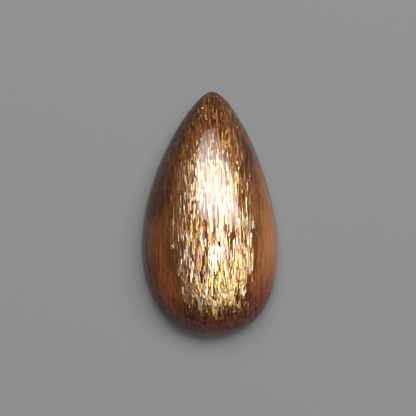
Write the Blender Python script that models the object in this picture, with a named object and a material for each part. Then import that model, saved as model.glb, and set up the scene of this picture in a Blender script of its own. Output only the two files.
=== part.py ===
"""A pear-shaped sunstone cabochon: one polished stone with a high dome, a thin girdle and a flat back.

Metres, +Z up. The stone lies on its back, with the dome up and the point of the pear towards +Y.
The origin is the middle of the stone's box, on the flat back.
"""

import math

import bmesh
import bpy
import numpy as np
from mathutils import Vector
from mathutils.geometry import interpolate_bezier

# Sizes of the finished stone
LENGTH = 0.0250
WIDTH = 0.0139
HEIGHT = 0.0066

# The outline at the girdle: how far each end is off the middle line, how high up the stone it is widest,
# and how far the curve runs straight on from the point, the widest place and the round end
TIP_OFFSET = 0.00025
ROUND_END_OFFSET = -0.00020
LEFT_SIDE = {"widest": -0.0033, "tip": 0.0017, "up": 0.0077, "down": 0.0066, "round_end": 0.0030}
RIGHT_SIDE = {"widest": -0.0037, "tip": 0.0022, "up": 0.0071, "down": 0.0058, "round_end": 0.0049}

# The ridge from end to end, seen from the side: where its top is, how far it runs level from there to
# each side, and how far it runs straight up from each end
RIDGE_TOP = -0.0026
TOWARDS_TIP = {"level": 0.0070, "upright": 0.0018}
TOWARDS_ROUND_END = {"level": 0.0054, "upright": 0.0032}

# The edge: height of the girdle, and the wall and the bevel that lead down from it to the back
GIRDLE_HEIGHT = 0.0009
WALL_FOOT_HEIGHT = 0.0003
WALL_INSET = 0.00008
BACK_INSET = 0.00036

# The net of cells on the dome: a square core with rounded sides, and rings round it out to the girdle
CORE_CELLS = 28
CORE_SHARE = 0.55
CORE_CORNER = 0.2
CORE_HALF_LENGTH = 0.0120
RINGS = 14
STEPS = 12 * CORE_CELLS

STONE_BROWN = (0.20, 0.075, 0.03, 1.0)


def clear_scene():
    for old in list(bpy.data.objects):
        bpy.data.objects.remove(old)


def outline_table():
    """Points of the outline, anticlockwise from the right, in four curves of as many steps each."""
    tip = Vector((TIP_OFFSET, LENGTH / 2, 0))
    round_end = Vector((ROUND_END_OFFSET, -LENGTH / 2, 0))
    right = Vector((WIDTH / 2, RIGHT_SIDE["widest"], 0))
    left = Vector((-WIDTH / 2, LEFT_SIDE["widest"], 0))
    across, along = Vector((1, 0, 0)), Vector((0, 1, 0))
    curves = [
        (right, right + along * RIGHT_SIDE["up"], tip + across * RIGHT_SIDE["tip"], tip),
        (tip, tip - across * LEFT_SIDE["tip"], left + along * LEFT_SIDE["up"], left),
        (left, left - along * LEFT_SIDE["down"], round_end - across * LEFT_SIDE["round_end"], round_end),
        (round_end, round_end + across * RIGHT_SIDE["round_end"], right - along * RIGHT_SIDE["down"], right),
    ]
    return [point for curve in curves for point in interpolate_bezier(*curve, STEPS + 1)[:-1]]


def ridge_table():
    """Points of the ridge above the girdle, from the round end to the point, as places along and heights."""
    rise = HEIGHT - GIRDLE_HEIGHT
    top = Vector((RIDGE_TOP, rise))
    round_end, tip = Vector((-LENGTH / 2, 0)), Vector((LENGTH / 2, 0))
    level, upright = Vector((1, 0)), Vector((0, 1))
    curves = [
        (round_end, round_end + upright * TOWARDS_ROUND_END["upright"],
         top - level * TOWARDS_ROUND_END["level"], top),
        (top, top + level * TOWARDS_TIP["level"], tip + upright * TOWARDS_TIP["upright"], tip),
    ]
    points = [point for curve in curves for point in interpolate_bezier(*curve, STEPS + 1)]
    return np.array([point.x for point in points]), np.array([point.y for point in points])


OUTLINE = outline_table()
RIDGE_PLACES, RIDGE_HEIGHTS = ridge_table()
# The two long sides of the outline, both from the round end to the point
RIGHT_EDGE = np.array(OUTLINE[3 * STEPS:] + OUTLINE[:STEPS + 1])
LEFT_EDGE = np.array(OUTLINE[STEPS:3 * STEPS + 1][::-1])


def outline_point(turn):
    """The outline at a turn from 0 to 1, where each quarter is one of its curves."""
    place = round(turn * 4 * STEPS)
    return OUTLINE[place % len(OUTLINE)]


def outline_inward(turn):
    """The level direction into the stone, square to the outline."""
    step = 1 / (4 * STEPS)
    ahead = outline_point(turn + step) - outline_point(turn - step)
    return Vector((-ahead.y, ahead.x, 0)).normalized()


def dome_height(x, y):
    """Height of the dome above the girdle: each section across the stone is half an ellipse."""
    right = np.interp(y, RIGHT_EDGE[:, 1], RIGHT_EDGE[:, 0])
    left = np.interp(y, LEFT_EDGE[:, 1], LEFT_EDGE[:, 0])
    off_middle = (2 * x - left - right) / (right - left)
    return np.interp(y, RIDGE_PLACES, RIDGE_HEIGHTS) * math.sqrt(max(0, 1 - off_middle**2))


def dome_point(turn, share):
    """A point of the dome. Its share is 0 at the middle of the net and 1 at the girdle."""
    middle = Vector((0, RIDGE_TOP, 0))
    to_outline = outline_point(turn) - middle
    direction = to_outline.normalized()
    to_oval = direction / math.hypot(direction.x / (WIDTH / 2), direction.y / CORE_HALF_LENGTH)
    spread = math.sin(share * math.pi / 2)
    level = middle + to_oval.lerp(to_outline, spread**2) * spread
    return Vector((level.x, level.y, GIRDLE_HEIGHT + dome_height(level.x, level.y)))


def add_core(bm, turn_of, share_of):
    """The middle of the net, a square of cells whose sides are rounded. Each point keeps its turn and share."""
    bmesh.ops.create_grid(bm, x_segments=CORE_CELLS, y_segments=CORE_CELLS, size=1)
    for point in bm.verts:
        u, v = point.co.x, point.co.y
        bulge = math.sqrt(2) * (1 + CORE_CORNER * (u * v) ** 2)
        across = bulge * math.sin(u * math.pi / 4) * math.cos(v * math.pi / 4)
        along = bulge * math.cos(u * math.pi / 4) * math.sin(v * math.pi / 4)
        point[turn_of] = math.atan2(along, across) / math.tau
        point[share_of] = CORE_SHARE * math.hypot(across, along)
        point.co = dome_point(point[turn_of], point[share_of])


def add_ring(bm, rim, place):
    """Draws the rim's edges on to a new ring, with its points where place puts them. Returns its edges."""
    drawn = bmesh.ops.extrude_edge_only(bm, edges=rim)["geom"]
    for point in drawn:
        if isinstance(point, bmesh.types.BMVert):
            point.co = place(point)
    return [edge for edge in drawn if isinstance(edge, bmesh.types.BMEdge) and edge.is_boundary]


def stone_mesh():
    bm = bmesh.new()
    turn_of = bm.verts.layers.float.new("turn")
    share_of = bm.verts.layers.float.new("share")

    def on_dome(part_way):
        return lambda point: dome_point(point[turn_of], point[share_of] * (1 - part_way) + part_way)

    def below(inset, height):
        def place(point):
            inward = outline_inward(point[turn_of]) * inset
            return outline_point(point[turn_of]) + inward + Vector((0, 0, height))
        return place

    add_core(bm, turn_of, share_of)
    rim = [edge for edge in bm.edges if edge.is_boundary]
    for ring in range(1, RINGS):
        rim = add_ring(bm, rim, on_dome(ring / RINGS))
    rim = add_ring(bm, rim, below(0, GIRDLE_HEIGHT))
    rim = add_ring(bm, rim, below(WALL_INSET, WALL_FOOT_HEIGHT))
    rim = add_ring(bm, rim, below(BACK_INSET, 0))
    bmesh.ops.contextual_create(bm, geom=rim)
    bmesh.ops.recalc_face_normals(bm, faces=bm.faces)
    mesh = bpy.data.meshes.new("sunstone_cabochon")
    bm.to_mesh(mesh)
    bm.free()
    mesh.shade_smooth()
    mesh.set_sharp_from_angle(angle=math.radians(35))
    return mesh


def stone_material():
    material = bpy.data.materials.new("polished_sunstone")
    material.use_nodes = True
    shader = material.node_tree.nodes["Principled BSDF"]
    shader.inputs["Base Color"].default_value = STONE_BROWN
    shader.inputs["Roughness"].default_value = 0.08
    shader.inputs["Metallic"].default_value = 0.0
    shader.inputs["IOR"].default_value = 1.54
    return material


def add_stone(collection):
    stone = bpy.data.objects.new("sunstone_cabochon", stone_mesh())
    stone.data.materials.append(stone_material())
    collection.objects.link(stone)
    facets = stone.modifiers.new("facets", "TRIANGULATE")
    facets.quad_method = "SHORTEST_DIAGONAL"


def main():
    clear_scene()
    collection = bpy.data.collections.new("sunstone_cabochon")
    bpy.context.scene.collection.children.link(collection)
    add_stone(collection)


main()
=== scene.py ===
"""A polished sunstone cabochon on a plain grey floor, seen from straight above.

The stone is a clear brown shell over dense brown grain. Thousands of thin metallic flakes lie between the
two, all close to one plane of the crystal, and flash together where the dome bends the light to suit them.
"""

import math

import bpy
from bpy.props import FloatProperty, FloatVectorProperty, PointerProperty
from mathutils import Matrix, Vector


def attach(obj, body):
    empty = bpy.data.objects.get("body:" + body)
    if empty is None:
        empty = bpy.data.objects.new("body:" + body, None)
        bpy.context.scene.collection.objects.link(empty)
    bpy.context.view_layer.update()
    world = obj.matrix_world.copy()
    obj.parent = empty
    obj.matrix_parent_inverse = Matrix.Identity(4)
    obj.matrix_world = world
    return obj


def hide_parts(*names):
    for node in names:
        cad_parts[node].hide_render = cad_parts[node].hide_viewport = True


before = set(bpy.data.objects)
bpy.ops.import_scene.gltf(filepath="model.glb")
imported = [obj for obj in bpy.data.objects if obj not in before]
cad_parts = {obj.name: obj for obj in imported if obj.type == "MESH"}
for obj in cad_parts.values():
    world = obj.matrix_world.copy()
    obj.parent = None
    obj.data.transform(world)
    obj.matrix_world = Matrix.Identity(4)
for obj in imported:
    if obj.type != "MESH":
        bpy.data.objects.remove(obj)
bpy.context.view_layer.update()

bl_info = {
    "name": "Sunstone Cabochon",
    "version": (1, 0, 0),
    "blender": (4, 5, 0),
    "location": "View3D > Sidebar > Sunstone",
    "description": "Builds a polished pear-shaped sunstone and a small studio round it",
    "category": "Object",
}

NODE = "sunstone_cabochon"
BODY = "root"

MM = 0.001
FRAME_PIXELS = 416
MERGE_DISTANCE = 0.001 * MM

# The ridge's top is this far from the middle, towards the round end
RIDGE_TOP_FROM_MIDDLE = 2.6 * MM
GIRDLE_HEIGHT = 0.9 * MM
# A border round the back, which keeps it flat when the stone is smoothed
BACK_BORDER = 0.25 * MM
# The ground finish of the back turns into polish between these two heights
GROUND_BELOW = 0.005 * MM
POLISHED_ABOVE = 0.02 * MM
# Flakes lie only under the part of the dome that is above this height
FLAKES_ABOVE = 1.2 * MM

# The flash: its middle, half its width and length, and how fast it bends to the right below its middle
FLASH_MIDDLE = (0.15 * MM, -1.0 * MM)
FLASH_HALF_WIDTH = 4.35 * MM
FLASH_HALF_LENGTH = 9.1 * MM
FLASH_BOW = 6.0

# The single flakes lie this deep under the dome
SPARK_DEPTH = 0.15 * MM
SPARK_THICKNESS = 0.01 * MM
SPARK_SHINE = (0.24, 0.20, 0.12)

# The dome falls away under the two ends of a flake: by this much of its length for each metre of it
DOME_CURVE = 5.0

FLAKE_BROWN = (0.26, 0.085, 0.022)

# The flakes by colour, with how many there are to a square millimetre, their sizes in millimetres, the colour
# of their shine and of their body, how many degrees they may lie off the crystal's plane, and where they lie
FLAKES = (
    {"name": "cream_flakes", "seed": 11, "per_mm2": 7.5, "width": (0.03, 0.11), "length": (0.4, 2.8),
     "shine": (0.82, 0.75, 0.54), "body": FLAKE_BROWN, "scatter": 7, "where": "flash"},
    {"name": "gold_flakes", "seed": 12, "per_mm2": 4.0, "width": (0.03, 0.10), "length": (0.4, 2.4),
     "shine": (0.74, 0.57, 0.15), "body": FLAKE_BROWN, "scatter": 7, "where": "gold"},
    {"name": "copper_flakes", "seed": 13, "per_mm2": 2.4, "width": (0.03, 0.10), "length": (0.4, 2.4),
     "shine": (0.60, 0.28, 0.10), "body": FLAKE_BROWN, "scatter": 9, "where": "flash"},
    {"name": "rose_flakes", "seed": 14, "per_mm2": 1.6, "width": (0.03, 0.08), "length": (0.4, 1.2),
     "shine": (0.62, 0.24, 0.28), "body": FLAKE_BROWN, "scatter": 9, "where": "flash"},
    {"name": "white_flakes", "seed": 19, "per_mm2": 5.5, "width": (0.05, 0.13), "length": (0.3, 1.2),
     "shine": (0.92, 0.91, 0.84), "body": FLAKE_BROWN, "scatter": 5, "where": "glints"},
    {"name": "amber_flakes", "seed": 15, "per_mm2": 7.0, "width": (0.03, 0.08), "length": (0.4, 2.2),
     "shine": (0.30, 0.19, 0.06), "body": FLAKE_BROWN, "scatter": 11, "where": "fringe"},
    {"name": "brown_fibres", "seed": 16, "per_mm2": 5.0, "width": (0.03, 0.08), "length": (1.0, 4.5),
     "shine": (0.21, 0.085, 0.03), "body": (0.28, 0.10, 0.03), "scatter": 9, "where": "top"},
    {"name": "dark_fibres", "seed": 17, "per_mm2": 1.2, "width": (0.03, 0.07), "length": (0.6, 2.2),
     "shine": (0.06, 0.02, 0.01), "body": (0.070, 0.024, 0.009), "scatter": 9, "where": "level"},
    {"name": "gold_flecks", "seed": 18, "per_mm2": 3.2, "width": (0.03, 0.08), "length": (0.06, 0.30),
     "shine": (0.50, 0.36, 0.20), "body": (0.28, 0.115, 0.04), "scatter": 60, "where": "everywhere"},
)

# Single flakes that face the light, as place across and along the stone, width and length, in millimetres
SPARKS = (
    (-0.72, 10.73, 0.16, 0.14), (-1.05, 10.42, 0.08, 0.10), (-0.30, 9.62, 0.15, 0.16),
    (-0.36, 9.95, 0.08, 0.22), (-0.90, 9.98, 0.07, 0.08), (-1.95, 8.55, 0.07, 0.12),
    (-2.12, 8.30, 0.06, 0.20), (-1.72, 8.22, 0.06, 0.09), (-2.34, 7.92, 0.07, 0.08),
    (1.79, 7.22, 0.13, 0.17), (1.98, 7.62, 0.06, 0.14), (-3.82, -3.20, 0.11, 0.22),
    (-3.64, -3.38, 0.13, 0.14), (-3.63, -3.13, 0.09, 0.12), (-3.84, -3.48, 0.08, 0.10),
    (-3.71, -3.27, 0.07, 0.10),
)

# Oval patches where the flashing flakes are denser or sparser: place across and along the stone, half width
# and half length in millimetres, and what is added to their density
PATCHES = (
    (0.9, -3.9, 1.5, 2.3, 0.7), (2.2, -2.4, 1.0, 1.5, -0.9), (0.9, -6.5, 1.0, 1.1, -0.9),
    (0.6, 2.8, 2.2, 4.4, 0.2), (-1.6, -8.4, 2.2, 1.5, 0.9), (3.3, -5.8, 1.1, 1.6, 0.6),
    (3.6, -2.6, 0.8, 1.4, 0.6), (3.6, -8.6, 1.1, 1.1, -0.7), (1.9, 6.9, 1.9, 2.7, -0.8),
    (-1.7, -3.2, 1.7, 2.0, 0.5), (1.8, -8.6, 1.3, 1.2, 0.8), (3.5, 0.7, 1.0, 1.9, -0.5),
)

# The patch where more of the flashing flakes are gold, and the one where the whitest flakes are densest, with
# the same four numbers
GOLDEN_PATCH = (1.9, -7.2, 2.8, 3.6)
WHITE_PATCH = (0.8, -4.5, 0.9, 1.5)

# The low panel that lights the right flank, from beside the stone
PANEL_TOWARDS = (1.0, 0.0, 0.17)
PANEL_DISTANCE = 0.8
PANEL_SIZE = (0.42, 3.4)

# The middle of the picture, across and along the stone
CAMERA_PLACE = (-0.153 * MM, 0.587 * MM)
NEAREST_SEEN = 0.01
FLOOR_GAP = 0.02 * MM
# The floor's painted glow, which fills the shadows like extra light and is dimmer at the stone as painted
# shade, changes between these distances from the stone
GLOW_NEAR = 0.03
GLOW_FAR = 0.6


class StoneSettings(bpy.types.PropertyGroup):
    """The clear outside of the stone."""

    ior: FloatProperty(
        name="IOR", description="Refractive index of the feldspar", default=1.54, min=1.0, max=2.5)
    body_colour: FloatVectorProperty(
        name="Body colour", description="Colour that the stone lets through", subtype="COLOR",
        default=(0.86, 0.55, 0.30), min=0.0, max=1.0)
    body_density: FloatProperty(
        name="Body density", description="How fast the stone takes up light, per metre", default=260.0,
        min=0.0)
    polish: FloatProperty(
        name="Polish", description="Roughness of the polished dome", default=0.035, min=0.0, max=1.0)
    ground_back: FloatProperty(
        name="Ground back", description="Roughness of the flat back", default=0.5, min=0.0, max=1.0)


class GrainSettings(bpy.types.PropertyGroup):
    """The dense grain inside."""

    height_share: FloatProperty(
        name="Height share", description="Height of the dense grain as a share of the stone's",
        default=0.86, min=0.1, max=1.0)
    inset: FloatProperty(
        name="Inset", description="How far the dense grain stays inside the surface", default=0.22 * MM,
        min=0.0, unit="LENGTH")
    dark: FloatVectorProperty(
        name="Dark grain", description="Colour of the darkest grain", subtype="COLOR",
        default=(0.095, 0.025, 0.0065), min=0.0, max=1.0)
    middle: FloatVectorProperty(
        name="Middle grain", description="Colour of most of the grain", subtype="COLOR",
        default=(0.29, 0.092, 0.023), min=0.0, max=1.0)
    light: FloatVectorProperty(
        name="Light grain", description="Colour of the lightest fibres", subtype="COLOR",
        default=(0.56, 0.235, 0.065), min=0.0, max=1.0)
    # Painted light: the grain only reaches this colour where painted light lifts its tone, mostly on the
    # right flank
    painted_light_grain: FloatVectorProperty(
        name="Brightest grain", description="Colour of the glowing grain on the right", subtype="COLOR",
        default=(0.80, 0.36, 0.11), min=0.0, max=1.0)
    # Painted reflection: a pale veil added to the grain's colour along the right edge, standing in for the
    # room reflected in the dome
    painted_rim_reflection: FloatVectorProperty(
        name="Pale grain", description="Colour added to the grain along the right edge", subtype="COLOR",
        default=(0.09, 0.09, 0.075), min=0.0, max=1.0)
    tip_tint: FloatVectorProperty(
        name="Tint at the tip", description="What the grain's colour is multiplied by at the tip",
        subtype="COLOR", default=(0.92, 1.25, 1.40), min=0.0, soft_max=2.0)
    round_end_tint: FloatVectorProperty(
        name="Tint at the round end", description="What the grain's colour is multiplied by at the round end",
        subtype="COLOR", default=(1.0, 0.72, 0.80), min=0.0, soft_max=2.0)


class GlitterSettings(bpy.types.PropertyGroup):
    """The flakes and fibres that lie in the crystal's plane."""

    thickness: FloatProperty(
        name="Thickness", description="Thickness of a flake", default=0.010 * MM, unit="LENGTH")
    shallowest: FloatProperty(
        name="Shallowest", description="Least depth of a flake under the dome", default=0.08 * MM,
        unit="LENGTH")
    depth_on_flanks: FloatProperty(
        name="Depth on the flanks", description="Range of depths where the dome is steep", default=0.10 * MM,
        unit="LENGTH")
    depth_on_top: FloatProperty(
        name="Depth on top", description="Range of depths added where the dome is level", default=0.70 * MM,
        unit="LENGTH")
    lean_to_tip: FloatProperty(
        name="Lean to the tip", description="How far the crystal's plane leans towards the tip",
        default=math.radians(8.3), subtype="ANGLE")
    curve_to_tip: FloatProperty(
        name="Curve to the tip", description="How much further the plane leans for each metre to the tip",
        default=math.radians(400))
    curve_to_round_end: FloatProperty(
        name="Curve to the round end", description="How much less it leans for each metre the other way",
        default=math.radians(900))
    lean_to_right: FloatProperty(
        name="Lean to the right", description="How far the crystal's plane leans towards the right",
        default=math.radians(6.0), subtype="ANGLE")
    turn: FloatProperty(
        name="Turn", description="How far a flake may be turned off the length of the stone",
        default=math.radians(1.0), subtype="ANGLE")


class StageSettings(bpy.types.PropertyGroup):
    """The floor, the lights and the camera."""

    floor_grey: FloatProperty(
        name="Floor grey", description="How much light the floor sends back", default=0.159, min=0.0, max=1.0)
    # Painted light: the floor glows by itself though no lamp is under it, to fill the shadows, with less glow
    # at the stone as painted shade
    painted_glow_at_stone: FloatProperty(
        name="Floor glow", description="How much light comes through the floor from below, at the stone",
        default=0.055, min=0.0)
    painted_glow_far: FloatProperty(
        name="Far glow", description="How much light comes through the floor from below, far from the stone",
        default=0.084, min=0.0)
    floor_size: FloatProperty(name="Floor size", description="Side of the floor", default=6.0, unit="LENGTH")
    room_grey: FloatProperty(
        name="Room grey", description="Light from the room all round", default=0.10, min=0.0)
    key_distance: FloatProperty(
        name="Softbox distance", description="From the stone to the softbox", default=0.5, unit="LENGTH")
    key_to_tip: FloatProperty(
        name="Softbox towards the tip", description="Angle from straight up towards the tip",
        default=math.radians(28.2), subtype="ANGLE")
    key_to_right: FloatProperty(
        name="Softbox towards the right", description="Angle from straight up towards the right",
        default=math.radians(9.3), subtype="ANGLE")
    key_turn: FloatProperty(
        name="Softbox turn", description="How far the softbox is turned on its own axis",
        default=math.radians(-17), subtype="ANGLE")
    key_width: FloatProperty(
        name="Softbox width", description="Across the stone", default=0.76, unit="LENGTH")
    key_length: FloatProperty(
        name="Softbox length", description="Along the stone", default=0.40, unit="LENGTH")
    key_radiance: FloatProperty(
        name="Softbox brightness", description="Brightness of the softbox's face", default=9.8, min=0.0)
    panel_radiance: FloatProperty(
        name="Panel brightness", description="Brightness of the low panel on the right", default=0.22,
        min=0.0)
    camera_distance: FloatProperty(
        name="Camera distance", description="From the camera to the stone", default=0.40, unit="LENGTH")
    pixels_per_mm: FloatProperty(
        name="Pixels per mm", description="Scale of the picture at the girdle", default=9.796)


def select_only(obj):
    bpy.ops.object.select_all(action="DESELECT")
    obj.select_set(True)
    bpy.context.view_layer.objects.active = obj


def copy_mesh_object(source, name):
    piece = bpy.data.objects.new(name, source.data.copy())
    piece.data.name = name
    bpy.context.scene.collection.objects.link(piece)
    select_only(piece)
    return piece


def select_faces(piece, test):
    """Selects the faces of a piece that pass a test, and leaves the piece in edit mode."""
    bpy.ops.object.mode_set(mode="EDIT")
    bpy.ops.mesh.select_mode(type="FACE")
    bpy.ops.mesh.select_all(action="DESELECT")
    bpy.ops.object.mode_set(mode="OBJECT")
    for face in piece.data.polygons:
        face.select = test(face)
    bpy.ops.object.mode_set(mode="EDIT")


def new_material(name):
    material = bpy.data.materials.new(name)
    material.use_nodes = True
    return material, material.node_tree, material.node_tree.nodes["Principled BSDF"]


def add_node(tree, kind, **values):
    """Adds a node. A value whose name is one of its settings is set there, and others go to its sockets."""
    node = tree.nodes.new(kind)
    for name, value in values.items():
        if hasattr(node, name):
            setattr(node, name, value)
            continue
        socket = node.inputs[name.replace("_", " ")]
        if isinstance(value, bpy.types.NodeSocket):
            tree.links.new(value, socket)
        else:
            socket.default_value = value
    return node


def math_node(tree, operation, *values):
    node = tree.nodes.new("ShaderNodeMath")
    node.operation = operation
    for socket, value in zip(node.inputs, values):
        if isinstance(value, bpy.types.NodeSocket):
            tree.links.new(value, socket)
        else:
            socket.default_value = value
    return node.outputs[0]


def product(tree, first, *others):
    for other in others:
        first = math_node(tree, "MULTIPLY", first, other)
    return first


def smooth_step(tree, value, start, end):
    node = add_node(tree, "ShaderNodeMapRange", interpolation_type="SMOOTHSTEP", Value=value,
                    From_Min=start, From_Max=end, To_Min=0.0, To_Max=1.0)
    return node.outputs["Result"]


def stretch(tree, place, start, end):
    """Goes smoothly from 0 to 1 between two places on the stone, in millimetres."""
    return smooth_step(tree, place, start * MM, end * MM)


def object_place(tree):
    return add_node(tree, "ShaderNodeTexCoord").outputs["Object"]


def split(tree, vector):
    """The three parts of a vector."""
    parts = add_node(tree, "ShaderNodeSeparateXYZ", Vector=vector)
    return parts.outputs["X"], parts.outputs["Y"], parts.outputs["Z"]


def colour_ramp(tree, factor, stops):
    node = tree.nodes.new("ShaderNodeValToRGB")
    ramp = node.color_ramp
    while len(ramp.elements) < len(stops):
        ramp.elements.new(0.5)
    for element, (place, colour) in zip(ramp.elements, stops):
        element.position = place
        element.color = (*colour, 1.0)
    tree.links.new(factor, node.inputs["Fac"])
    return node.outputs["Color"]


def apply_modifier(piece, modifier):
    select_only(piece)
    bpy.ops.object.modifier_apply(modifier=modifier.name)


def polished_material(settings):
    material, tree, shader = new_material("polished_sunstone")
    shader.inputs["Base Color"].default_value = (1.0, 1.0, 1.0, 1.0)
    shader.inputs["Transmission Weight"].default_value = 1.0
    shader.inputs["IOR"].default_value = settings.ior
    height = split(tree, object_place(tree))[2]
    finish = add_node(tree, "ShaderNodeMapRange", Value=height, From_Min=GROUND_BELOW,
                      From_Max=POLISHED_ABOVE, To_Min=settings.ground_back, To_Max=settings.polish)
    tree.links.new(finish.outputs["Result"], shader.inputs["Roughness"])
    absorption = add_node(tree, "ShaderNodeVolumeAbsorption", Color=(*settings.body_colour, 1.0),
                          Density=settings.body_density)
    tree.links.new(absorption.outputs["Volume"], tree.nodes["Material Output"].inputs["Volume"])
    return material


class SUNSTONE_OT_polished_stone(bpy.types.Operator):
    """Adds the clear stone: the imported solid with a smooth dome"""

    bl_idname = "sunstone.polished_stone"
    bl_label = "Polished Stone"

    def execute(self, context):
        piece = copy_mesh_object(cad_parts[NODE], "polished_stone")
        bpy.ops.object.mode_set(mode="EDIT")
        bpy.ops.mesh.select_all(action="SELECT")
        bpy.ops.mesh.remove_doubles(threshold=MERGE_DISTANCE)
        bpy.ops.object.mode_set(mode="OBJECT")
        select_faces(piece, lambda face: face.normal.z < -0.999)
        bpy.ops.mesh.dissolve_faces()
        bpy.ops.mesh.inset(thickness=BACK_BORDER)
        bpy.ops.mesh.select_all(action="INVERT")
        bpy.ops.mesh.tris_convert_to_quads(face_threshold=math.radians(60), shape_threshold=math.radians(80))
        bpy.ops.object.mode_set(mode="OBJECT")
        finer = piece.modifiers.new("finer", "SUBSURF")
        finer.levels = finer.render_levels = 2
        apply_modifier(piece, finer)
        bpy.ops.object.shade_smooth()
        piece.data.materials.clear()
        piece.data.materials.append(polished_material(context.scene.sunstone_stone))
        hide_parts(NODE)
        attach(piece, BODY)
        return {"FINISHED"}


def stretched_noise(tree, place, across, along, upright):
    """Noise with so many waves to a metre across, along and up the stone."""
    scaled = add_node(tree, "ShaderNodeVectorMath", operation="MULTIPLY", Vector=place)
    scaled.inputs[1].default_value = (across, along, upright)
    noise = add_node(tree, "ShaderNodeTexNoise", Vector=scaled.outputs["Vector"], Scale=1.0, Detail=2.0)
    return noise.outputs["Fac"]


def mix_values(tree, factor, first, second):
    node = add_node(tree, "ShaderNodeMix", data_type="FLOAT")
    for socket, value in zip((node.inputs[0], node.inputs[2], node.inputs[3]), (factor, first, second)):
        tree.links.new(value, socket)
    return node.outputs[0]


def blend_colour(tree, blend, factor, below, above):
    """Lays a plain colour over another, by a factor."""
    node = add_node(tree, "ShaderNodeMix", data_type="RGBA", blend_type=blend)
    tree.links.new(factor, node.inputs[0])
    tree.links.new(below, node.inputs[6])
    node.inputs[7].default_value = (*above, 1.0)
    return node.outputs[2]


def shift(tree, tone, amount, *shares):
    """Adds an amount to the tone where all the shares meet."""
    return math_node(tree, "MULTIPLY_ADD", product(tree, *shares), amount, tone)


def fibre_pattern(tree, place, sideways, endways):
    """Fine fibres along the stone: lines on the dome and on its flanks, and dots on its two ends."""
    on_top = stretched_noise(tree, place, 8000.0, 160.0, 500.0)
    on_flanks = stretched_noise(tree, place, 700.0, 160.0, 4500.0)
    on_ends = stretched_noise(tree, place, 7000.0, 2500.0, 7000.0)
    steep_ends = smooth_step(tree, math_node(tree, "ABSOLUTE", endways), 0.60, 0.92)
    steep_flanks = smooth_step(tree, math_node(tree, "ABSOLUTE", sideways), 0.62, 0.86)
    return mix_values(tree, steep_flanks, mix_values(tree, steep_ends, on_top, on_ends), on_flanks)


def painted_light_and_shade(tree, tone, sideways, y):
    """Paints light and shade into the grain's tone: painted light on both flanks, most on the right, and
    painted shade at both ends and at the left.
    """
    from_middle = math_node(tree, "ABSOLUTE", math_node(tree, "ADD", y, 0.8 * MM))
    # Painted shade at both ends, painted light on the right flank and the lower left, and painted shade along
    # the left
    tone = shift(tree, tone, -0.075, stretch(tree, from_middle, 4.5, 10.5))
    tone = shift(tree, tone, 0.18, smooth_step(tree, sideways, 0.10, 0.70),
                 stretch(tree, y, 5.5, -3.5), stretch(tree, y, -9.5, -5.0))
    tone = shift(tree, tone, 0.14, smooth_step(tree, sideways, -0.05, -0.40),
                 stretch(tree, y, 2.0, -2.0), stretch(tree, y, -11.0, -7.0))
    tone = shift(tree, tone, -0.13, smooth_step(tree, sideways, -0.42, -0.66), stretch(tree, y, -1.0, 3.0))
    return shift(tree, tone, -0.22, smooth_step(tree, sideways, -0.40, -0.76))


def grain_material(settings):
    material, tree, shader = new_material("dense_grain")
    coordinates = add_node(tree, "ShaderNodeTexCoord")
    place = coordinates.outputs["Object"]
    sideways, endways = split(tree, coordinates.outputs["Normal"])[:2]
    y = split(tree, place)[1]
    tone = math_node(tree, "MULTIPLY_ADD", fibre_pattern(tree, place, sideways, endways), 0.52, 0.02)
    tone = shift(tree, tone, 0.17, stretched_noise(tree, place, 2600.0, 110.0, 2600.0))
    tone = shift(tree, tone, 0.29, stretched_noise(tree, place, 380.0, 200.0, 300.0))
    tone = painted_light_and_shade(tree, tone, sideways, y)
    # The last stop is painted light, reached where the tone is lifted on the right flank
    colour = colour_ramp(tree, tone, [(0.38, settings.dark), (0.50, settings.middle), (0.68, settings.light),
                                      (0.85, settings.painted_light_grain)])
    colour = blend_colour(tree, "MULTIPLY", stretch(tree, y, 3.0, 9.0), colour, settings.tip_tint)
    colour = blend_colour(tree, "MULTIPLY", stretch(tree, y, -4.0, -9.0), colour, settings.round_end_tint)
    # Painted reflection: the pale veil along the right edge, fading out towards the round end
    edge = product(tree, smooth_step(tree, sideways, 0.60, 0.95), stretch(tree, y, -11.0, -4.0))
    colour = blend_colour(tree, "ADD", edge, colour, settings.painted_rim_reflection)
    tree.links.new(colour, shader.inputs["Base Color"])
    shader.inputs["Roughness"].default_value = 0.55
    shader.inputs["Specular IOR Level"].default_value = 0.0
    return material


class SUNSTONE_OT_dense_grain(bpy.types.Operator):
    """Adds the dense brown grain that fills the inside of the stone"""

    bl_idname = "sunstone.dense_grain"
    bl_label = "Dense Grain"

    def execute(self, context):
        settings = context.scene.sunstone_grain
        piece = copy_mesh_object(bpy.data.objects["polished_stone"], "dense_grain")
        bpy.ops.object.mode_set(mode="EDIT")
        bpy.ops.mesh.select_all(action="SELECT")
        bpy.ops.transform.shrink_fatten(value=-settings.inset)
        bpy.ops.transform.resize(value=(1.0, 1.0, settings.height_share), center_override=(0.0, 0.0, 0.0))
        bpy.ops.object.mode_set(mode="OBJECT")
        piece.data.materials.clear()
        piece.data.materials.append(grain_material(settings))
        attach(piece, BODY)
        return {"FINISHED"}


def flake_material(name, shine, body):
    """A flake is as brown as the grain round it until it sends the light back in the colour of its shine."""
    material, tree, shader = new_material(name)
    shader.inputs["Base Color"].default_value = (*body, 1.0)
    shader.inputs["Roughness"].default_value = 0.3
    shader.inputs["IOR"].default_value = 5.8
    shader.inputs["Specular Tint"].default_value = (*shine, 1.0)
    return material


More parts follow.
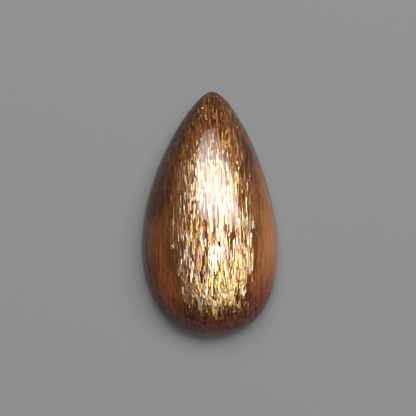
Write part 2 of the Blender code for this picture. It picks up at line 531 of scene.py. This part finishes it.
def one_flake(settings):
    """One flake of unit length and width, to be copied."""
    bpy.ops.object.select_all(action="DESELECT")
    bpy.ops.mesh.primitive_plane_add(size=1.0, enter_editmode=True)
    bpy.ops.mesh.select_all(action="SELECT")
    bpy.ops.mesh.extrude_region_move(TRANSFORM_OT_translate={"value": (0.0, 0.0, settings.thickness)})
    bpy.ops.mesh.select_all(action="SELECT")
    bpy.ops.mesh.normals_make_consistent(inside=False)
    bpy.ops.object.mode_set(mode="OBJECT")
    flake = bpy.context.active_object
    flake.name = "one_flake"
    return flake


def random_value(tree, low, high, seed):
    kind = "FLOAT_VECTOR" if isinstance(low, tuple) else "FLOAT"
    node = tree.nodes.new("FunctionNodeRandomValue")
    node.data_type = kind
    shown = [socket for socket in node.inputs if socket.enabled]
    shown[0].default_value = low
    shown[1].default_value = high
    node.inputs["Seed"].default_value = seed
    return next(socket for socket in node.outputs if socket.enabled)


def flash_distance(tree, place, x, y):
    """How far a place is from the middle of the flash: about 1 at its edge, which is ragged."""
    middle_x, middle_y = FLASH_MIDDLE
    below = math_node(tree, "MINIMUM", math_node(tree, "SUBTRACT", y, middle_y), 0.0)
    bow = product(tree, below, below, FLASH_BOW)
    across = math_node(tree, "MULTIPLY_ADD", math_node(tree, "SUBTRACT", x, bow), 1 / FLASH_HALF_WIDTH,
                       -middle_x / FLASH_HALF_WIDTH)
    along = math_node(tree, "MULTIPLY_ADD", y, 1 / FLASH_HALF_LENGTH, -middle_y / FLASH_HALF_LENGTH)
    away = math_node(tree, "ADD", math_node(tree, "POWER", math_node(tree, "ABSOLUTE", across), 2.5),
                     math_node(tree, "POWER", math_node(tree, "ABSOLUTE", along), 2.5))
    ragged = math_node(tree, "SUBTRACT", stretched_noise(tree, place, 1800.0, 350.0, 0.0), 0.5)
    return math_node(tree, "MULTIPLY_ADD", ragged, 1.4, away)


def in_patch(tree, place, x, y, half_width, half_length):
    """1 in the middle of an oval patch and 0 outside it. Its place and size are in millimetres."""
    off = add_node(tree, "ShaderNodeVectorMath", operation="MULTIPLY_ADD", Vector=place)
    off.inputs[1].default_value = (1 / (half_width * MM), 1 / (half_length * MM), 0.0)
    off.inputs[2].default_value = (-x / half_width, -y / half_length, 0.0)
    away = add_node(tree, "ShaderNodeVectorMath", operation="LENGTH", Vector=off.outputs["Vector"])
    return smooth_step(tree, away.outputs["Value"], 1.0, 0.5)


def flash_share(tree, place, x, y, inside):
    """How dense the flashing flakes are: in clumps below the middle, and thinner to the left and the tip."""
    clumps = smooth_step(tree, stretched_noise(tree, place, 900.0, 380.0, 0.0), 0.36, 0.64)
    clumps = math_node(tree, "MULTIPLY_ADD", clumps, 1.3, -0.80)
    clumps = math_node(tree, "MULTIPLY_ADD", clumps, stretch(tree, y, 2.0, -1.0), 1.0)
    clumps = shift(tree, clumps, 0.7, stretch(tree, y, -5.0, -8.0))
    for *patch, change in PATCHES:
        clumps = shift(tree, clumps, change, in_patch(tree, place, *patch))
    clumps = math_node(tree, "MAXIMUM", clumps, 0.1)
    from_left = math_node(tree, "MULTIPLY_ADD", stretch(tree, x, -4.2, -1.7), 0.7, 0.3)
    from_tip = math_node(tree, "MULTIPLY_ADD", stretch(tree, y, 7.0, 2.5), 0.7, 0.3)
    upper_right = product(tree, stretch(tree, x, 1.4, 3.0), stretch(tree, y, -1.0, 3.0))
    upper_right = math_node(tree, "MULTIPLY_ADD", upper_right, -0.6, 1.0)
    return product(tree, inside, clumps, from_left, from_tip, upper_right)


def glint_share(tree, place, x, y, inside):
    """How dense the whitest flakes are: in spots below the middle, and most of all in one patch."""
    spots = smooth_step(tree, stretched_noise(tree, place, 1300.0, 650.0, 0.0), 0.54, 0.60)
    spots = shift(tree, spots, 3.0, in_patch(tree, place, *WHITE_PATCH))
    return product(tree, inside, spots, stretch(tree, x, -3.6, -1.6), stretch(tree, y, 0.5, -2.5))


def flake_share(tree, where, level):
    """How dense the flakes of a kind are at a place on the dome, as a share."""
    if where == "everywhere":
        return smooth_step(tree, level, -0.5, -0.4)
    if where == "top":
        return smooth_step(tree, level, 0.55, 0.85)
    if where == "level":
        return smooth_step(tree, level, 0.70, 0.95)
    place = add_node(tree, "GeometryNodeInputPosition").outputs["Position"]
    x, y = split(tree, place)[:2]
    away = flash_distance(tree, place, x, y)
    if where == "fringe":
        return product(tree, smooth_step(tree, away, 0.30, 0.75), smooth_step(tree, away, 1.85, 1.0),
                       stretch(tree, y, 9.5, 7.0))
    inside = smooth_step(tree, away, 1.12, 0.76)
    if where == "glints":
        return glint_share(tree, place, x, y, inside)
    golden = in_patch(tree, place, *GOLDEN_PATCH)
    golden = math_node(tree, "MULTIPLY_ADD", golden, 1.1 if where == "gold" else -0.35, 1.0)
    return product(tree, flash_share(tree, place, x, y, inside), golden)


def shortening(tree, endways):
    """How much shorter the flakes are where the dome slopes down to its ends."""
    steep = math_node(tree, "ABSOLUTE", endways)
    return math_node(tree, "MAXIMUM", math_node(tree, "MULTIPLY_ADD", steep, -1.3, 1.1), 0.4)


def plane_lean(tree, settings):
    """How far the crystal's plane leans towards the tip at a place, in radians."""
    y = split(tree, add_node(tree, "GeometryNodeInputPosition").outputs["Position"])[1]
    from_top = math_node(tree, "ADD", y, RIDGE_TOP_FROM_MIDDLE)
    lean = math_node(tree, "MULTIPLY_ADD", math_node(tree, "MAXIMUM", from_top, 0.0), settings.curve_to_tip,
                     settings.lean_to_tip)
    return math_node(tree, "MULTIPLY_ADD", math_node(tree, "MINIMUM", from_top, 0.0),
                     settings.curve_to_round_end, lean)


def flake_depth(tree, settings, endways, level, length, lean, scatter):
    """How deep under the dome the middle of a flake lies, so that both of its ends stay inside."""
    reach = math_node(tree, "MULTIPLY_ADD", product(tree, level, level), settings.depth_on_top,
                      settings.depth_on_flanks)
    depth = math_node(tree, "MULTIPLY_ADD", random_value(tree, 0.0, 1.0, 3), reach, settings.shallowest)
    off_plane = math_node(tree, "SUBTRACT", endways, product(tree, lean, level))
    slant = math_node(tree, "ABSOLUTE", off_plane)
    rise = math_node(tree, "MULTIPLY_ADD", slant, 0.5, 0.5 * math.sin(scatter))
    rise = math_node(tree, "MULTIPLY_ADD", length, DOME_CURVE, rise)
    return math_node(tree, "MULTIPLY_ADD", length, rise, depth)


def scatter_nodes(kind, settings, flake, material):
    """Scatters flakes under the surface of a mesh, and makes one mesh of them."""
    tree = bpy.data.node_groups.new(kind["name"], "GeometryNodeTree")
    tree.interface.new_socket("Geometry", in_out="INPUT", socket_type="NodeSocketGeometry")
    tree.interface.new_socket("Geometry", in_out="OUTPUT", socket_type="NodeSocketGeometry")
    surface = tree.nodes.new("NodeGroupInput").outputs[0]
    endways, level = split(tree, add_node(tree, "GeometryNodeInputNormal").outputs["Normal"])[1:]
    density = product(tree, flake_share(tree, kind["where"], level), kind["per_mm2"] / MM**2)
    density = math_node(tree, "DIVIDE", density, shortening(tree, endways))
    points = add_node(tree, "GeometryNodeDistributePointsOnFaces", Mesh=surface, Density=density,
                      Seed=kind["seed"])
    endways, level = split(tree, points.outputs["Normal"])[1:]
    shortest, longest = kind["length"]
    squared = math_node(tree, "POWER", random_value(tree, 0.0, 1.0, 1), 2.0)
    length = math_node(tree, "MULTIPLY_ADD", squared, (longest - shortest) * MM, shortest * MM)
    length = product(tree, length, shortening(tree, endways))
    narrowest, widest = kind["width"]
    width = random_value(tree, narrowest * MM, widest * MM, 2)
    scatter = math.radians(kind["scatter"])
    lean = plane_lean(tree, settings)
    depth = flake_depth(tree, settings, endways, level, length, lean, scatter)
    sink = add_node(tree, "ShaderNodeVectorMath", operation="SCALE", Vector=points.outputs["Normal"],
                    Scale=product(tree, depth, -1.0))
    placed = add_node(tree, "GeometryNodeSetPosition", Geometry=points.outputs["Points"],
                      Offset=sink.outputs["Vector"])
    half = Vector((scatter, scatter, settings.turn)) / 2
    low, high = tuple(-half), tuple(half)
    turn = add_node(tree, "ShaderNodeVectorMath", operation="ADD")
    tree.links.new(random_value(tree, low, high, 4), turn.inputs[0])
    tree.links.new(random_value(tree, low, high, 5), turn.inputs[1])
    plane = add_node(tree, "ShaderNodeCombineXYZ", X=product(tree, lean, -1.0), Y=settings.lean_to_right)
    turn = add_node(tree, "ShaderNodeVectorMath", operation="ADD", Vector=turn.outputs["Vector"])
    tree.links.new(plane.outputs["Vector"], turn.inputs[1])
    size = add_node(tree, "ShaderNodeCombineXYZ", X=width, Y=length, Z=1.0)
    shape = add_node(tree, "GeometryNodeObjectInfo", Object=flake)
    flakes = add_node(tree, "GeometryNodeInstanceOnPoints", Points=placed.outputs["Geometry"],
                      Instance=shape.outputs["Geometry"], Rotation=turn.outputs["Vector"],
                      Scale=size.outputs["Vector"])
    made = add_node(tree, "GeometryNodeRealizeInstances", Geometry=flakes.outputs["Instances"])
    shaded = add_node(tree, "GeometryNodeSetMaterial", Geometry=made.outputs["Geometry"], Material=material)
    tree.links.new(shaded.outputs["Geometry"], tree.nodes.new("NodeGroupOutput").inputs[0])
    return tree


class SUNSTONE_OT_glitter(bpy.types.Operator):
    """Adds the thin metallic flakes that flash under the dome, and the fibres all round them"""

    bl_idname = "sunstone.glitter"
    bl_label = "Glitter Flakes"

    def execute(self, context):
        settings = context.scene.sunstone_glitter
        flake = one_flake(settings)
        for kind in FLAKES:
            piece = copy_mesh_object(bpy.data.objects["polished_stone"], kind["name"])
            select_faces(piece, lambda face: face.center.z < FLAKES_ABOVE)
            bpy.ops.mesh.delete(type="FACE")
            bpy.ops.object.mode_set(mode="OBJECT")
            material = flake_material(kind["name"], kind["shine"], kind["body"])
            piece.data.materials.clear()
            piece.data.materials.append(material)
            scatter = piece.modifiers.new("scatter", "NODES")
            scatter.node_group = scatter_nodes(kind, settings, flake, material)
            apply_modifier(piece, scatter)
            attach(piece, BODY)
        bpy.data.objects.remove(flake)
        return {"FINISHED"}


def bend(ray, normal, ratio):
    """The direction of a ray after it has gone through a surface, for a ratio of the two indices."""
    into = -ray.dot(normal)
    rest = 1.0 - ratio**2 * (1.0 - into**2)
    return (ray * ratio + normal * (ratio * into - math.sqrt(rest))).normalized()


class SUNSTONE_OT_stray_sparks(bpy.types.Operator):
    """Adds a few single flakes away from the others, each turned so that it sends the light straight up"""

    bl_idname = "sunstone.stray_sparks"
    bl_label = "Stray Sparks"

    def execute(self, context):
        stone = bpy.data.objects["polished_stone"]
        ratio = 1 / context.scene.sunstone_stone.ior
        light = softbox_direction(context.scene.sunstone_stage).normalized()
        down = Vector((0.0, 0.0, -1.0))
        bpy.ops.object.select_all(action="DESELECT")
        for index, (x, y, width, length) in enumerate(SPARKS):
            found, place, normal = stone.ray_cast(Vector((x * MM, y * MM, 1.0)), down)[:3]
            if not found:
                raise RuntimeError("a spark lies outside the stone")
            seen = bend(down, normal, ratio)
            facing = -seen - bend(-light, normal, ratio)
            turn = facing.to_track_quat("Z", "Y").to_euler()
            bpy.ops.mesh.primitive_cube_add(size=1.0, location=place + seen * SPARK_DEPTH, rotation=turn,
                                            scale=(width * MM, length * MM, SPARK_THICKNESS))
            if index == 0:
                piece = context.active_object
                bpy.ops.object.transform_apply(location=True, rotation=True, scale=True)
                bpy.ops.object.mode_set(mode="EDIT")
        bpy.ops.object.mode_set(mode="OBJECT")
        piece.name = piece.data.name = "stray_sparks"
        piece.data.materials.append(flake_material("stray_sparks", SPARK_SHINE, FLAKE_BROWN))
        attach(piece, BODY)
        return {"FINISHED"}


def floor_material(settings):
    material, tree, shader = new_material("plain_floor")
    grey = settings.floor_grey
    shader.inputs["Base Color"].default_value = (grey, grey, grey, 1.0)
    shader.inputs["Roughness"].default_value = 1.0
    shader.inputs["Specular IOR Level"].default_value = 0.0
    # Painted light: the floor's own glow, dimmer near the stone as painted shade
    shader.inputs["Emission Color"].default_value = (1.0, 1.0, 1.0, 1.0)
    away = add_node(tree, "ShaderNodeVectorMath", operation="LENGTH", Vector=object_place(tree))
    glow = add_node(tree, "ShaderNodeMapRange", interpolation_type="SMOOTHSTEP", Value=away.outputs["Value"],
                    From_Min=GLOW_NEAR, From_Max=GLOW_FAR, To_Min=settings.painted_glow_at_stone,
                    To_Max=settings.painted_glow_far)
    tree.links.new(glow.outputs["Result"], shader.inputs["Emission Strength"])
    return material


def softbox_direction(settings):
    return Vector((math.tan(settings.key_to_right), math.tan(settings.key_to_tip), 1.0))


def facing_stone(towards, turn):
    """The turn of a lamp that shines back along a direction, with its length kept along the stone."""
    back = towards.normalized()
    across = Vector((0.0, 1.0, 0.0)).cross(back).normalized()
    along = back.cross(across)
    axes = Matrix((across, along, back)).transposed()
    return (axes @ Matrix.Rotation(turn, 3, "Z")).to_euler()


def add_area_light(name, towards, distance, size, radiance, turn=0.0):
    """Adds a flat light that faces the stone, at a direction and a distance from it."""
    light = bpy.data.lights.new(name, "AREA")
    light.shape = "RECTANGLE"
    light.size, light.size_y = size
    light.energy = radiance * math.pi * size[0] * size[1]
    lamp = bpy.data.objects.new(name, light)
    bpy.context.scene.collection.objects.link(lamp)
    lamp.location = towards.normalized() * distance
    lamp.rotation_euler = facing_stone(towards, turn)
    return light


def light_place(light):
    """Gives a light a strength that can vary, and returns its node tree and the place on it from 0 to 1."""
    light.use_nodes = True
    tree = light.node_tree
    x, y = split(tree, add_node(tree, "ShaderNodeNewGeometry").outputs["Parametric"])[:2]
    return tree, x, y


def off_middle(tree, place):
    """1 at both ends of the light and 0 in its middle, but close to 0 until near the ends."""
    double = math_node(tree, "MULTIPLY_ADD", place, 2.0, -1.0)
    return math_node(tree, "POWER", math_node(tree, "ABSOLUTE", double), 4.0)


def fade_softbox(light):
    """Rounds the softbox's corners, cuts one of them off, and dims it towards its upper and lower edges."""
    tree, x, y = light_place(light)
    across = math_node(tree, "MULTIPLY_ADD", x, light.size, -light.size / 2)
    along = math_node(tree, "MULTIPLY_ADD", y, light.size_y, -light.size_y / 2)
    rim = math_node(tree, "ADD", off_middle(tree, x), off_middle(tree, y))
    corner = math_node(tree, "MULTIPLY_ADD", along, 0.58, across)
    upper = math_node(tree, "MULTIPLY_ADD", smooth_step(tree, along, 0.19, -0.01), 0.75, 0.25)
    lower = math_node(tree, "MULTIPLY_ADD", across, -0.3, along)
    strength = product(tree, smooth_step(tree, rim, 1.0, 0.70), smooth_step(tree, corner, -0.36, -0.22),
                       upper, smooth_step(tree, lower, -0.24, -0.08))
    tree.links.new(strength, tree.nodes["Emission"].inputs["Strength"])


def fade_panel(light):
    """Lets the panel fade towards its upper edge."""
    tree, x = light_place(light)[:2]
    tree.links.new(smooth_step(tree, x, 0.0, 0.8), tree.nodes["Emission"].inputs["Strength"])


def add_floor(settings):
    bpy.ops.object.select_all(action="DESELECT")
    bpy.ops.mesh.primitive_plane_add(size=settings.floor_size, location=(0.0, 0.0, -FLOOR_GAP))
    floor = bpy.context.active_object
    floor.name = "floor"
    floor.data.materials.append(floor_material(settings))


def add_room(settings):
    """Light from all round, of one even grey."""
    world = bpy.data.worlds.new("room")
    world.use_nodes = True
    grey = settings.room_grey
    world.node_tree.nodes["Background"].inputs["Color"].default_value = (grey, grey, grey, 1.0)
    bpy.context.scene.world = world


def add_lights(settings):
    softbox = add_area_light("softbox", softbox_direction(settings), settings.key_distance,
                             (settings.key_width, settings.key_length), settings.key_radiance,
                             settings.key_turn)
    fade_softbox(softbox)
    panel = add_area_light("low_panel", Vector(PANEL_TOWARDS), PANEL_DISTANCE, PANEL_SIZE,
                           settings.panel_radiance)
    fade_panel(panel)


def add_camera(settings):
    """A camera that looks straight down."""
    camera = bpy.data.cameras.new("camera")
    viewer = bpy.data.objects.new("camera", camera)
    bpy.context.scene.collection.objects.link(viewer)
    bpy.context.scene.camera = viewer
    field = FRAME_PIXELS / settings.pixels_per_mm * MM
    camera.lens = camera.sensor_width * settings.camera_distance / field
    camera.clip_start = NEAREST_SEEN
    viewer.location = (*CAMERA_PLACE, settings.camera_distance + GIRDLE_HEIGHT)
    bpy.context.scene.view_settings.view_transform = "Standard"


class SUNSTONE_OT_stage(bpy.types.Operator):
    """Adds the floor, the lights and the camera"""

    bl_idname = "sunstone.stage"
    bl_label = "Stage"

    def execute(self, context):
        settings = context.scene.sunstone_stage
        add_floor(settings)
        add_room(settings)
        add_lights(settings)
        add_camera(settings)
        return {"FINISHED"}


class SUNSTONE_PT_panel(bpy.types.Panel):
    """Lists the pieces of the stone and the stage"""

    bl_label = "Sunstone"
    bl_idname = "SUNSTONE_PT_panel"
    bl_space_type = "VIEW_3D"
    bl_region_type = "UI"
    bl_category = "Sunstone"

    def draw(self, context):
        for operator in OPERATORS:
            self.layout.operator(operator.bl_idname)


OPERATORS = (SUNSTONE_OT_polished_stone, SUNSTONE_OT_dense_grain, SUNSTONE_OT_glitter,
             SUNSTONE_OT_stray_sparks, SUNSTONE_OT_stage)
SETTINGS = {"stone": StoneSettings, "grain": GrainSettings, "glitter": GlitterSettings,
            "stage": StageSettings}


def register():
    for kind in (*SETTINGS.values(), *OPERATORS, SUNSTONE_PT_panel):
        bpy.utils.register_class(kind)
    for name, kind in SETTINGS.items():
        setattr(bpy.types.Scene, "sunstone_" + name, PointerProperty(type=kind))


def unregister():
    for name in SETTINGS:
        delattr(bpy.types.Scene, "sunstone_" + name)
    for kind in (*SETTINGS.values(), *OPERATORS, SUNSTONE_PT_panel):
        bpy.utils.unregister_class(kind)


def main():
    register()
    bpy.ops.sunstone.polished_stone()
    bpy.ops.sunstone.dense_grain()
    bpy.ops.sunstone.glitter()
    bpy.ops.sunstone.stray_sparks()
    bpy.ops.sunstone.stage()


if __name__ == "__main__":
    main()
